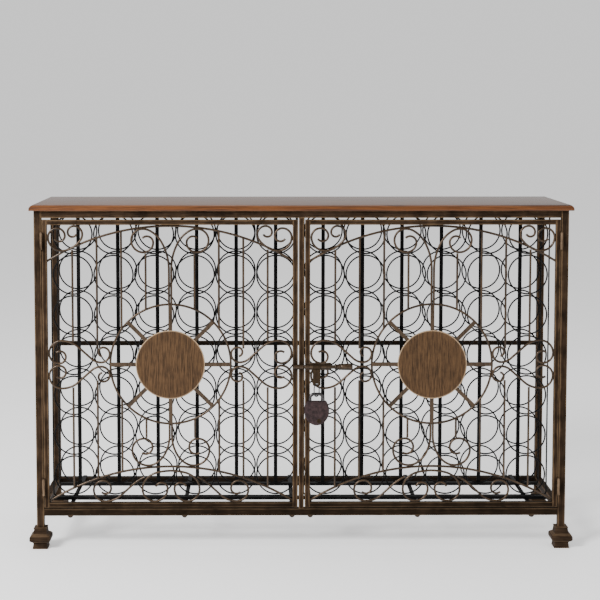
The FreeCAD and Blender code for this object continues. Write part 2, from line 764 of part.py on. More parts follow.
def medallion():
    """The medallion's ring and the spokes between it and the back of the disc."""
    wire = value("medallion_rod") / 2
    centre = FreeCAD.Vector(0, value("arch_layer"), 0)
    pieces = [Part.makeTorus(value("medallion_radius"), wire, centre, FreeCAD.Vector(0, 1, 0))]
    inner, width = value("disc_radius") - value("spoke_width"), value("spoke_width")
    length = value("medallion_radius") - inner
    for number in range(SPOKES):
        corner = FreeCAD.Vector(inner, value("spoke_front"), -width / 2)
        spoke = Part.makeBox(length, value("spoke_back") - value("spoke_front"), width, corner)
        spoke.rotate(FreeCAD.Vector(), FreeCAD.Vector(0, 1, 0), 360 * number / SPOKES)
        pieces.append(spoke)
    return pieces


def disc(side):
    """The medallion's disc with its raised rim."""
    centre = (sided(side, "door_middle"), "front + layer_gap", "door_centre")
    plate = cylinder("disc_plate", centre, "disc_radius", "disc_thickness", "y")
    rim_place = (centre[0], "front + layer_gap + disc_thickness - disc_rim / 2", centre[2])
    rim = torus("disc_rim_wire", rim_place, "disc_radius - disc_rim / 2", "disc_rim / 2", "y")
    return fuse("disc_with_rim", [plate, rim])


def door(side):
    """One grille door: its tube frame, arches, rods, scrolls and medallion."""
    label = f"{side}_door"
    tall = ("door_tube", "door_tube", "door_head - door_base")
    for name, inner in (("hinge_stile", "door_outer - door_tube"), ("meeting_stile", "door_inner")):
        corner = (low_edge(side, inner, f"{inner} + door_tube"), "front", "door_base")
        node(square_tube(f"{label}_{name}", corner, tall, "z", "door_wall"), f"{label}_{name}")
    wide = ("2 * open_half_width", "door_tube", "door_tube")
    start = low_edge(side, "door_inner + door_tube", "door_outer - door_tube")
    for name, base in (("top_rail", "door_head - door_tube"), ("bottom_rail", "door_base")):
        corner = (start, "front", base)
        node(square_tube(f"{label}_{name}", corner, wide, "x", "door_wall"), f"{label}_{name}")
    base = (sided(side, "door_middle"), "front", "door_centre")
    node(solids("rods", arches() + upright_rods(), base), f"{label}_grille_rods")
    node(solids("upper", front_rods(corner_scrolls() + high_crooks()), base), f"{label}_upper_scrolls")
    node(solids("sides", front_rods(side_scrolls()), base), f"{label}_side_scrolls")
    lower = low_crooks() + [base_scroll()] + comma_scrolls()
    node(solids("lower", front_rods(lower), base), f"{label}_lower_scrolls")
    node(solids("wheel", medallion(), base), f"{label}_medallion_wheel")
    node(disc(side), f"{label}_medallion_disc")


def knuckle(side, base, height, web_corner):
    """Half a barrel hinge: a bored barrel with the web that is welded to its frame."""
    centre = (sided(side, "hinge_axis_x"), "hinge_axis_y", base)
    barrel = cylinder("barrel", centre, "hinge_radius", height, "z")
    web = box("barrel_web", (web_corner, "hinge_axis_y", base), ("hinge_web", "hinge_reach", height))
    bore_start = (centre[0], centre[1], f"{base} - cut_overrun")
    bore_radius = "hinge_pin_radius + hinge_pin_clearance"
    bore = cylinder("barrel_bore", bore_start, bore_radius, f"{height} + 2 * cut_overrun", "z")
    return cut("knuckle", fuse("knuckle_body", [barrel, web]), bore)


def hinges():
    """Two barrel hinges a side: a knuckle on the post below, one on the door above, and their pin."""
    half = "(hinge_length - hinge_knuckle_gap) / 2"
    post_knuckles, pins = [], []
    for side in ("left", "right"):
        door_knuckles = []
        post_web = low_edge(side, "post_inner + seat_gap", "post_inner + seat_gap + hinge_web")
        door_web = low_edge(side, "door_outer - seat_gap - hinge_web", "door_outer - seat_gap")
        for base in ("low_hinge_base", "high_hinge_base"):
            post_knuckles.append(knuckle(side, base, half, post_web))
            door_knuckles.append(knuckle(side, f"{base} + {half} + hinge_knuckle_gap", half, door_web))
            pins.append(hinge_pin(side, base))
        node(group(f"{side}_knuckles", door_knuckles), f"{side}_door_hinge_knuckles")
    node(group("post_knuckles", post_knuckles), "post_hinge_knuckles")
    node(group("pins", pins), "hinge_pins")


def hinge_pin(side, base):
    """A headed pin through both knuckles."""
    start = (sided(side, "hinge_axis_x"), "hinge_axis_y", base)
    shank = cylinder("pin_shank", start, "hinge_pin_radius", "hinge_length + seat_gap", "z")
    cap_start = (start[0], start[1], f"{base} + hinge_length + seat_gap")
    cap = cylinder("pin_cap", cap_start, "hinge_cap_radius", "hinge_cap_height", "z")
    return fuse("pin", [shank, cap])


def sleeve(name, start, length, foot_corner, foot_spans):
    """A bored sleeve for the slide bolt, with the foot that joins it to its door."""
    outside = cylinder(f"{name}_outside", (start, "latch_y", "latch_z"), "latch_sleeve_radius", length, "x")
    foot_block = box(f"{name}_foot", foot_corner, foot_spans)
    bore_start = (f"{start} - cut_overrun", "latch_y", "latch_z")
    bore_radius = "latch_rod_radius + latch_clearance"
    bore = cylinder(f"{name}_bore", bore_start, bore_radius, f"{length} + 2 * cut_overrun", "x")
    return cut(name, fuse(f"{name}_body", [outside, foot_block]), bore)


def latch():
    """The slide bolt, its guides on the right door and its keeper on the left door."""
    foot_depth = "latch_reach - latch_rod_radius - latch_clearance"
    guides = []
    for name, start in (("near", "near_sleeve"), ("far", "far_sleeve")):
        corner = (start, f"front - ({foot_depth})", "latch_z - latch_rod_radius")
        spans = ("latch_sleeve_length", foot_depth, "2 * latch_rod_radius")
        guides.append(sleeve(f"{name}_guide", start, "latch_sleeve_length", corner, spans))
    corner = ("near_sleeve", "front - latch_plate_thickness", "latch_z - latch_plate_height / 2")
    spans = ("latch_sleeve_spacing + latch_sleeve_length", "latch_plate_thickness", "latch_plate_height")
    node(fuse("guide_plate", guides + [box("latch_plate", corner, spans)]), "latch_guides")
    corner = ("-door_inner - door_tube", f"front - ({foot_depth})", "latch_z - latch_rod_radius")
    spans = ("door_tube", foot_depth, "2 * latch_rod_radius")
    node(sleeve("keeper", "keeper_reach - keeper_length", "keeper_length", corner, spans), "latch_keeper")
    line = ("latch_y", "latch_z")
    rod = cylinder("bolt_rod", ("latch_tip", *line), "latch_rod_radius", "grip_base - latch_tip", "x")
    collar = cylinder("grip_collar", ("grip_base", *line), "grip_collar_radius", "grip_collar_length", "x")
    neck_start = "grip_base + grip_collar_length"
    neck = cylinder("grip_neck", (neck_start, *line), "grip_neck_radius", "grip_neck_length", "x")
    grip_start = f"{neck_start} + grip_neck_length"
    grip = cone("grip", (grip_start, *line), "grip_collar_radius", "grip_end_radius", "grip_length", "x")
    tip_start = f"{grip_start} + grip_length"
    tip = cone("grip_tip", (tip_start, *line), "grip_end_radius", "grip_neck_radius", "grip_tip_length", "x")
    node(fuse("slide_bolt", [rod, collar, neck, grip, tip]), "latch_bolt")


def hasp():
    """The tab that hangs from the slide bolt, and the long ring through its slot."""
    collar_start = ("tab_base", "latch_y", "latch_z")
    collar = cylinder("tab_collar", collar_start, "latch_sleeve_radius", "tab_width", "x")
    corner = ("tab_base", "latch_y - tab_thickness / 2", "tab_foot")
    plate = box("tab_plate", corner, ("tab_width", "tab_thickness", "tab_drop"))
    bore_start = ("tab_base - cut_overrun", "latch_y", "latch_z")
    bore_radius = "latch_rod_radius + seat_gap"
    bore = cylinder("tab_bore", bore_start, bore_radius, "tab_width + 2 * cut_overrun", "x")
    slot_corner = ("tab_middle - tab_slot_width / 2", "latch_y - tab_thickness", "tab_foot + tab_web")
    slot = box("tab_slot", slot_corner, ("tab_slot_width", "2 * tab_thickness", "tab_slot_height"))
    trims = [bore, slot]
    for reach in ("tab_base", "tab_base + tab_width"):
        corner = (f"{reach} - tab_corner / sqrt(2)", "latch_y - tab_thickness", "tab_foot")
        trim = box("tab_trim", corner, ("tab_corner", "2 * tab_thickness", "tab_corner"))
        trim.Placement = FreeCAD.Placement(trim.Placement.Base, BEVEL)
        trims.append(trim)
    node(cut("tab", fuse("tab_body", [collar, plate]), group("tab_trims", trims)), "hasp_tab")
    radius = value("lock_ring_radius")
    straight = value("lock_ring_length") - 2 * radius
    path = tangent_path(1, CROOK_START, ((straight, 0), (radius, -180), (straight, 0), (radius, -180)))
    path.translate(FreeCAD.Vector(-radius, 0, -straight - radius))
    ring = rod_along(path, value("lock_ring_wire") / 2)
    ring.rotate(FreeCAD.Vector(), UPWARD, LOCK_RING_TURN)
    node(solids("long_ring", [ring], ("tab_middle", "latch_y", "lock_ring_top")), "lock_ring")


def padlock():
    """The shackle in the lock ring, and the body that it locks into."""
    radius, wire, leg = value("shackle_radius"), value("shackle_wire") / 2, value("shackle_leg")
    bend = value("shackle_corner")
    steps = (
        (leg + value("shackle_heel"), 0), (bend, -90), (2 * (radius - bend), 0), (bend, -90),
        (leg + value("shackle_toe"), 0),
    )
    path = tangent_path(1, CROOK_START, steps)
    path.translate(FreeCAD.Vector(-radius, 0, -leg - value("shackle_heel")))
    base = ("tab_middle", "latch_y", "shackle_bend")
    node(solids("shackle", [rod_along(path, wire)], base), "padlock_shackle")
    outline = doc.addObject("Part::Ellipse", "padlock_outline")
    bind(outline, ("MajorRadius", "MinorRadius"), ("padlock_half_height", "padlock_half_width"))
    upright = FreeCAD.Rotation(UPWARD, ACROSS, FreeCAD.Vector(0, 1, 0), "ZXY")
    outline.Placement = FreeCAD.Placement(FreeCAD.Vector(), upright)
    place(outline, ("tab_middle", "latch_y - padlock_thickness / 2", "padlock_centre"))
    slab = doc.addObject("Part::Extrusion", "padlock_slab")
    slab.Base, slab.Dir, slab.DirMode, slab.Solid = outline, FreeCAD.Vector(0, 1, 0), "Custom", True
    bind(slab, ("LengthFwd",), ("padlock_thickness",))
    reach = "padlock_half_width + cut_overrun"
    corner = (f"tab_middle - ({reach})", "latch_y - padlock_thickness", "padlock_top")
    crown = box("padlock_crown", corner, (f"2 * ({reach})", "2 * padlock_thickness", "padlock_half_height"))
    blank = cut("padlock_blank", slab, crown)
    doc.recompute()
    eased = doc.addObject("Part::Fillet", "padlock_eased")
    eased.Base = blank
    edges = [number for number, edge in enumerate(blank.Shape.Edges, start=1) if edge.BoundBox.YLength < wire]
    eased.Edges = [(number, value("padlock_edge"), value("padlock_edge")) for number in edges]
    holes = []
    for side, depth in (("-shackle_radius", "shackle_heel"), ("shackle_radius", "shackle_toe")):
        start = (f"tab_middle + ({side})", "latch_y", f"padlock_top - {depth} - seat_gap")
        bore_radius = "shackle_wire / 2 + shackle_clearance"
        holes.append(cylinder("shackle_hole", start, bore_radius, f"{depth} + seat_gap + cut_overrun", "z"))
    plug_x, face = "tab_middle + plug_shift", "latch_y - padlock_thickness / 2"
    seat_start = (plug_x, f"{face} - cut_overrun", "plug_z")
    seat_depth = "plug_depth + cut_overrun + seat_gap"
    holes.append(cylinder("plug_seat", seat_start, "plug_radius + seat_gap", seat_depth, "y"))
    node(cut("padlock_case", eased, group("padlock_holes", holes)), "padlock_body")
    plug = cylinder("plug", (plug_x, face, "plug_z"), "plug_radius", "plug_depth", "y")
    slot_corner = (f"{plug_x} - key_slot_width / 2", f"{face} - cut_overrun", "plug_z - key_slot_height / 2")
    slot_spans = ("key_slot_width", "key_slot_depth + cut_overrun", "key_slot_height")
    node(cut("plug_with_slot", plug, box("key_slot", slot_corner, slot_spans)), "padlock_cylinder")


def check():
    """Stop if anything failed, or if a sub-part is empty or broken."""
    doc.recompute()
    failed = [item.Label for item in doc.Objects if {"Invalid", "Error"} & set(item.State)]
    failed += [item.Label for item in parts if item.Shape.isNull() or not item.Shape.isValid()]
    if failed:
        raise RuntimeError(f"failed: {failed}")


def export():
    """Write each sub-part under its own name."""
    os.makedirs("parts", exist_ok=True)
    for item in parts:
        item.Shape.exportStep(f"parts/{item.Label}.step")
        print(item.Label, len(item.Shape.Solids), round(item.Shape.Volume))


wooden_top()
frame()
bearers()
base_bars()
rack("left")
rack("right")
door("left")
door("right")
hinges()
latch()
hasp()
padlock()
check()
export()
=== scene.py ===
"""Looks of a wrought-iron wine cabinet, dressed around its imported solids.

Everything is in metres: X to the right, Y to the back, Z up, with the origin on the floor.
"""

import json
import logging
import math
from contextlib import contextmanager
from dataclasses import dataclass
from enum import Enum
from typing import Any, Callable, Iterator, Sequence

import bmesh
import bpy
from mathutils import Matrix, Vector


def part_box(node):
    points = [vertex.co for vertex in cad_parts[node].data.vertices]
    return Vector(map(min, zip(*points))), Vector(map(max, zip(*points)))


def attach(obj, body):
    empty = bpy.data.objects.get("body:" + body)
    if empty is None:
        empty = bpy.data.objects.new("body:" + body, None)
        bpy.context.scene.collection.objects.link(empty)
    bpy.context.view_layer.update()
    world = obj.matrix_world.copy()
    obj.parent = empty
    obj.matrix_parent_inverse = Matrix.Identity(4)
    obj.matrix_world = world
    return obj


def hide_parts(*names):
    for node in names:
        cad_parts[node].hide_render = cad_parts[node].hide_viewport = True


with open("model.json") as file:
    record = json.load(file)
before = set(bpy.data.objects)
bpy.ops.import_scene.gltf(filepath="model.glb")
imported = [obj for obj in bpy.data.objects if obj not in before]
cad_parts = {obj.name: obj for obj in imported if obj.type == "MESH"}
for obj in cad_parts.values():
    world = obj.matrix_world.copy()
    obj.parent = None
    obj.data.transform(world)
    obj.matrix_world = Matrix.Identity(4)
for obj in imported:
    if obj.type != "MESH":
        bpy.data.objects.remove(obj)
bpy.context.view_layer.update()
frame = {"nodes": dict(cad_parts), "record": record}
LOG = logging.getLogger("wine_cabinet")
BODY_OF: dict[str, str] = {
    node: body for body, nodes in frame["record"]["behaviour"]["bodies"].items() for node in nodes
}
Colour = tuple[float, float, float]
Point = tuple[float, float, float]

# Point attribute that marks the worn corners of a piece, and the medallion rim that is painted
# lighter as rubbing and a painted highlight
RUB_MARK = "rub"
# Scale of a pattern along its grain, for 1 across it
GRAIN_STRETCH = 0.06
# Specular level of painted and brushed metal
METAL_GLOSS = 0.25
# Two places closer than this, in metres, count as one: read from a box, or within one piece
HAIR = 1e-5
SPECK = 1e-6
# Profile of a bevel that is a quarter of a circle
ROUND = 0.5
# A face looks along an axis when its normal has at least this share of it
SQUARE_ON = 0.99
LEVELS = ("top", "bottom")
ENDS = ("front", "back")
ROD_WORK = ("grille_rods", "upper_scrolls", "side_scrolls", "lower_scrolls", "medallion_wheel")
# Sockets of a Mix node that mixes colours: the share, both colours and the result
MIX_SHARE, MIX_LOW, MIX_HIGH, MIX_RESULT = 0, 6, 7, 2


class Axis(Enum):
    """The way that a tube runs, or that a grain is drawn out."""

    X = 0
    Y = 1
    Z = 2

    @property
    def stretch(self) -> tuple[float, float, float]:
        """Scale of a pattern that is drawn out along this axis."""
        return tuple(GRAIN_STRETCH if index == self.value else 1.0 for index in range(3))


class Side(Enum):
    """The two halves of the cabinet, seen from the front."""

    LEFT = "left"
    RIGHT = "right"


class Rub(Enum):
    """Where the paint is rubbed back to a lighter brown, and on faces that look forwards and up
    also painted lighter as a painted highlight.
    """

    EDGES = "edges"
    # Faces that look forwards and up: rubbed, and painted lighter as a painted highlight
    OUTER_FACES = "outer_faces"


class Channel:
    """A value in a shader tree that takes part in Python arithmetic."""

    def __init__(self, tree: "ShaderTree", socket: bpy.types.NodeSocket) -> None:
        """Wrap an output socket.

        Args:
            tree: The tree that the socket belongs to.
            socket: The socket to wrap.
        """
        self.tree = tree
        self.socket = socket

    def _math(self, operation: str, first: Any, second: Any) -> "Channel":
        """Add one Math node."""
        return self.tree.add("ShaderNodeMath", {"operation": operation}, {0: first, 1: second})

    def __add__(self, other: Any) -> "Channel":
        """This value plus another."""
        return self._math("ADD", self, other)

    def __radd__(self, other: Any) -> "Channel":
        """Another value plus this."""
        return self._math("ADD", other, self)

    def __sub__(self, other: Any) -> "Channel":
        """This value less another."""
        return self._math("SUBTRACT", self, other)

    def __rsub__(self, other: Any) -> "Channel":
        """Another value less this."""
        return self._math("SUBTRACT", other, self)

    def __mul__(self, other: Any) -> "Channel":
        """This value times another."""
        return self._math("MULTIPLY", self, other)

    def between(self, low: float, high: float) -> "Channel":
        """A smooth step from 0 at low to 1 at high.

        Args:
            low: The value that gives 0.
            high: The value that gives 1.

        Returns:
            The stepped value.
        """
        return self.tree.add(
            "ShaderNodeMapRange",
            {"interpolation_type": "SMOOTHSTEP"},
            {"Value": self, "From Min": low, "From Max": high},
        )


class ShaderTree:
    """One material and the nodes that are added to it."""

    def __init__(self, name: str) -> None:
        """Start a material with a bare Principled shader.

        Args:
            name: The material's name.
        """
        self.material = bpy.data.materials.new(name)
        self.material.use_nodes = True
        self.nodes = self.material.node_tree.nodes
        self.links = self.material.node_tree.links
        self.shader = next(node for node in self.nodes if node.type == "BSDF_PRINCIPLED")

    def add(
        self, kind: str, settings: dict[str, Any], inputs: dict[Any, Any], output: Any = 0
    ) -> Channel:
        """Add any node.

        Args:
            kind: The node's type name.
            settings: Attributes that are set first.
            inputs: Values or links, by the socket's name or number.
            output: The name or number of the socket to return.

        Returns:
            The chosen output.
        """
        node = self.nodes.new(kind)
        for name, setting in settings.items():
            setattr(node, name, setting)
        for key, content in inputs.items():
            self.feed(node.inputs[key], content)
        return Channel(self, node.outputs[output])

    def feed(self, socket: bpy.types.NodeSocket, content: Any) -> None:
        """Link a channel to a socket, or set the socket's own value.

        Args:
            socket: The socket to feed.
            content: A channel or a plain value.
        """
        if isinstance(content, Channel):
            self.links.new(content.socket, socket)
        elif socket.type == "RGBA":
            socket.default_value = (*content, 1.0)
        else:
            socket.default_value = content

    def place(self) -> Channel:
        """The point on the surface, in the row frame."""
        return self.add("ShaderNodeTexCoord", {}, {}, "Object")

    def scaled(self, place: Channel, scale: Sequence[float]) -> Channel:
        """A point with each axis scaled, to draw a pattern out."""
        return self.add("ShaderNodeMapping", {}, {"Vector": place, "Scale": tuple(scale)})

    def noise(
        self, place: Channel, scale: float, detail: float = 3.0, rough: float = 0.55
    ) -> Channel:
        """Soft noise from 0 to 1.

        Args:
            place: The point to read.
            scale: Features to the metre.
            detail: Octaves.
            rough: How much the fine octaves count.

        Returns:
            The noise value.
        """
        return self.add(
            "ShaderNodeTexNoise",
            {},
            {"Vector": place, "Scale": scale, "Detail": detail, "Roughness": rough},
        )

    def blend(self, share: Any, low: Any, high: Any) -> Channel:
        """One colour that turns into another.

        Args:
            share: 0 for the first colour, 1 for the second.
            low: The first colour.
            high: The second colour.

        Returns:
            The mixed colour.
        """
        return self.add(
            "ShaderNodeMix",
            {"data_type": "RGBA", "clamp_factor": True},
            {MIX_SHARE: share, MIX_LOW: low, MIX_HIGH: high},
            MIX_RESULT,
        )

    def bump(self, height: Channel, depth: float, strength: float = 1.0) -> None:
        """Raise the surface by a height field.

        Args:
            height: The field, from 0 to 1.
            depth: How far 1 stands above 0, in metres.
            strength: The share of it that shows.
        """
        sockets = {"Strength": strength, "Distance": depth, "Height": height}
        self.feed(self.shader.inputs["Normal"], self.add("ShaderNodeBump", {}, sockets))

    def set(self, **inputs: Any) -> bpy.types.Material:
        """Feed the shader's sockets, named with underscores for spaces.

        Args:
            **inputs: Values or channels.

        Returns:
            The finished material.
        """
        for name, content in inputs.items():
            self.feed(self.shader.inputs[name.replace("_", " ")], content)
        return self.material


@dataclass(frozen=True)
class RubbedBronze:
    """Dark bronze paint, rubbed back to golden brown, and on the marked forward and upward faces
    given a painted highlight.
    """

    name: str
    rub: Rub
    grain: Axis
    dark: Colour = (0.0095, 0.006, 0.0041)
    warm: Colour = (0.037, 0.0223, 0.0133)
    gold: Colour = (0.108, 0.068, 0.037)
    edge_tint: Colour = (0.34, 0.25, 0.17)
    metal: float = 0.35
    rough: float = 0.6
    polish: float = 0.0
    polish_rough: float = 0.22
    # Features to the metre
    cloud_scale: float = 22.0
    streak_scale: float = 420.0
    fleck_scale: float = 900.0
    # Depth of the brush marks, in metres
    relief: float = 0.0004
    # How much smoother the rubbed places and the painted-highlight places are
    worn_gloss: float = 0.18

    def rubbed_and_lit(self, tree: ShaderTree) -> Channel:
        """Where the rubbing and the painted highlight reach most.

        Args:
            tree: The material's tree.

        Returns:
            0 in the hollows to 1 on the marked corners, or on what faces forwards and up, where it
            is also a painted highlight.
        """
        if self.rub is Rub.EDGES:
            return tree.add("ShaderNodeAttribute", {"attribute_name": RUB_MARK}, {}, "Fac")
        facing = tree.add("ShaderNodeTexCoord", {}, {}, "Normal")
        backward = tree.add("ShaderNodeSeparateXYZ", {}, {0: facing}, Axis.Y.value)
        upward = tree.add("ShaderNodeSeparateXYZ", {}, {0: facing}, Axis.Z.value)
        # Painted highlight: faces that look forwards and up are painted lighter, as where the light
        # falls, besides being rubbed
        return (upward * 0.35 - backward * 0.8).between(-0.1, 1.0)

    def material(self) -> bpy.types.Material:
        """Build the paint: clouded brown, brush streaks and a mask of rubbing and painted
        highlight.

        Returns:
            The finished material.
        """
        tree = ShaderTree(self.name)
        place = tree.place()
        cloud = tree.noise(place, self.cloud_scale, 4.0, 0.6)
        streak = tree.noise(tree.scaled(place, self.grain.stretch), self.streak_scale, 3.0, 0.65)
        fleck = tree.noise(place, self.fleck_scale, 2.0, 0.6)
        uneven = (streak - 0.5) * 1.1 + (cloud - 0.5) * 0.9
        # Golden where rubbed, and where the painted highlight falls on forward and upward faces
        worn_and_lit = (self.rubbed_and_lit(tree) * 0.62 + uneven).between(0.12, 0.85)
        brown = tree.blend((streak * 0.55 + cloud * 0.75).between(0.45, 0.85), self.dark, self.warm)
        tree.bump(fleck * 0.6 + streak * 0.4, self.relief, 0.6)
        return tree.set(
            Base_Color=tree.blend(worn_and_lit, brown, self.gold),
            Roughness=self.rough - worn_and_lit * self.worn_gloss + fleck * 0.08,
            Metallic=self.metal,
            Specular_IOR_Level=METAL_GLOSS,
            Specular_Tint=self.edge_tint,
            Coat_Weight=self.polish,
            Coat_Roughness=self.polish_rough,
        )


@dataclass(frozen=True)
class BlackWire:
    """Satin black wire and flat bar."""

    name: str = "satin_black"
    black: Colour = (0.003, 0.0028, 0.0027)
    grey: Colour = (0.009, 0.0084, 0.008)
    edge_tint: Colour = (0.2, 0.2, 0.21)
    rough: float = 0.42
    # Features to the metre
    cloud_scale: float = 60.0
    grit_scale: float = 1400.0
    # Height of the grit, in metres
    relief: float = 0.0002

    def material(self) -> bpy.types.Material:
        """Build the black paint with a little cloud and grit.

        Returns:
            The finished material.
        """
        tree = ShaderTree(self.name)
        place = tree.place()
        cloud = tree.noise(place, self.cloud_scale)
        grit = tree.noise(place, self.grit_scale, 2.0)
        tree.bump(grit, self.relief, 0.5)
        return tree.set(
            Base_Color=tree.blend(cloud.between(0.4, 0.8), self.black, self.grey),
            Roughness=self.rough + grit * 0.2,
            Specular_IOR_Level=METAL_GLOSS,
            Specular_Tint=self.edge_tint,
        )


@dataclass(frozen=True)
class StainedWood:
    """Red-brown stained board with its grain along the cabinet."""

    name: str = "stained_wood"
    deep: Colour = (0.012, 0.0039, 0.0012)
    middle: Colour = (0.046, 0.0138, 0.0033)
    light: Colour = (0.165, 0.0555, 0.0135)
    rough: float = 0.34
    gloss: float = 0.12
    varnish: float = 0.8
    varnish_rough: float = 0.15
    varnish_ior: float = 1.33
    # Depth of the open grain, in metres
    relief: float = 0.0003
    # Features to the metre across the grain, and the scale along it for 1 across
    band: tuple[float, float] = (70.0, 0.03)
    vein: tuple[float, float] = (240.0, 0.025)
    fibre: tuple[float, float] = (900.0, 0.012)
    pore: tuple[float, float] = (1500.0, 0.05)

    def wandering(self, tree: ShaderTree, place: Channel) -> Channel:
        """The point moved a little, so that the grain isn't dead straight.

        Args:
            tree: The material's tree.
            place: The point on the board.

        Returns:
            The moved point.
        """
        drift = tree.noise(tree.scaled(place, (0.5, 4.0, 4.0)), 3.0, 2.0)
        aside = tree.add("ShaderNodeCombineXYZ", {}, {1: drift * 0.05, 2: drift * 0.04})
        return tree.add("ShaderNodeVectorMath", {"operation": "ADD"}, {0: place, 1: aside})

    def material(self) -> bpy.types.Material:
        """Build long grain, pores and a coat of varnish.

        Returns:
            The finished material.
        """
        tree = ShaderTree(self.name)
        place = tree.place()
        bent = self.wandering(tree, place)

        def grain(at: Channel, figure: tuple[float, float], *octaves: float) -> Channel:
            """One layer of noise, drawn out along the board."""
            across, along = figure
            return tree.noise(tree.scaled(at, (along, 1.0, 1.0)), across, *octaves)

        band = grain(bent, self.band, 4.0, 0.6)
        vein = grain(bent, self.vein, 2.0, 0.6)
        fibre = grain(bent, self.fibre, 3.0, 0.7)
        pore = grain(place, self.pore, 1.0)
        base = tree.blend((band * 0.5 + vein * 0.5).between(0.36, 0.64), self.middle, self.light)
        lines = (fibre * 0.4 + band * 0.25 + vein * 0.35).between(0.5, 0.64)
        pits = pore.between(0.66, 0.74)
        tree.bump(fibre * 0.5 + pore * 0.5, self.relief, 0.25)
        return tree.set(
            Base_Color=tree.blend(pits * 0.7, tree.blend(lines * 0.75, base, self.deep), self.deep),
            Roughness=self.rough + fibre * 0.14,
            Specular_IOR_Level=self.gloss,
            Coat_Weight=self.varnish,
            Coat_Roughness=self.varnish_rough,
            Coat_IOR=self.varnish_ior,
        )


@dataclass(frozen=True)
class BrushedMetal:
    """Metal with fine brush lines along one axis."""

    name: str
    low: Colour
    high: Colour
    grain: Axis
    # Lighter colour for the marked rim: rubbing and a painted highlight
    rim: Colour = (0.45, 0.32, 0.2)
    metal: float = 0.75
    rough: float = 0.42
    # Features to the metre
    streaks: float = 800.0
    cloud_scale: float = 35.0
    # Depth of the brush lines, in metres
    relief: float = 0.0004

    def material(self) -> bpy.types.Material:
        """Build the brush lines, a slow cloud, their relief and a lighter marked rim, which is
        rubbing and a painted highlight.

        Returns:
            The finished material.
        """
        tree = ShaderTree(self.name)
        place = tree.place()
        line = tree.noise(tree.scaled(place, self.grain.stretch), self.streaks, 2.0, 0.6)
        cloud = tree.noise(place, self.cloud_scale, 3.0)
        brushed = tree.blend((line * 0.8 + cloud * 0.2).between(0.25, 0.75), self.low, self.high)
        # The marked rim is painted lighter: rubbing and a painted highlight
        edge = tree.add("ShaderNodeAttribute", {"attribute_name": RUB_MARK}, {}, "Fac")
        tree.bump(line, self.relief, 0.45)
        return tree.set(
            Base_Color=tree.blend(edge * (0.5 + cloud * 0.5), brushed, self.rim),
            Roughness=self.rough + line * 0.16,
            Metallic=self.metal,
            Specular_IOR_Level=METAL_GLOSS,
        )


@dataclass(frozen=True)
class PlumPaint:
    """The padlock's satin plum-brown paint."""

    name: str = "plum_paint"
    deep: Colour = (0.012, 0.0062, 0.0064)
    light: Colour = (0.042, 0.023, 0.0235)
    metal: float = 0.3
    rough: float = 0.42
    # Features to the metre, and the scale of the scuffs down the case for 1 across it
    mottle_scale: float = 130.0
    scuff_scale: float = 800.0
    scuff_stretch: float = 0.15
    # Depth of the mottling, in metres
    relief: float = 0.0003

    def material(self) -> bpy.types.Material:
        """Build a mottled paint with faint scuffs.

        Returns:
            The finished material.
        """
        tree = ShaderTree(self.name)
        place = tree.place()
        mottle = tree.noise(place, self.mottle_scale, 4.0, 0.65)
        drawn_out = tree.scaled(place, (1.0, 1.0, self.scuff_stretch))
        scuff = tree.noise(drawn_out, self.scuff_scale, 2.0)
        share = (mottle * 0.8 + scuff * 0.2).between(0.35, 0.7)
        tree.bump(mottle, self.relief, 0.5)
        return tree.set(
            Base_Color=tree.blend(share, self.deep, self.light),
            Roughness=self.rough + scuff * 0.15,
            Metallic=self.metal,
            Specular_IOR_Level=METAL_GLOSS,
        )


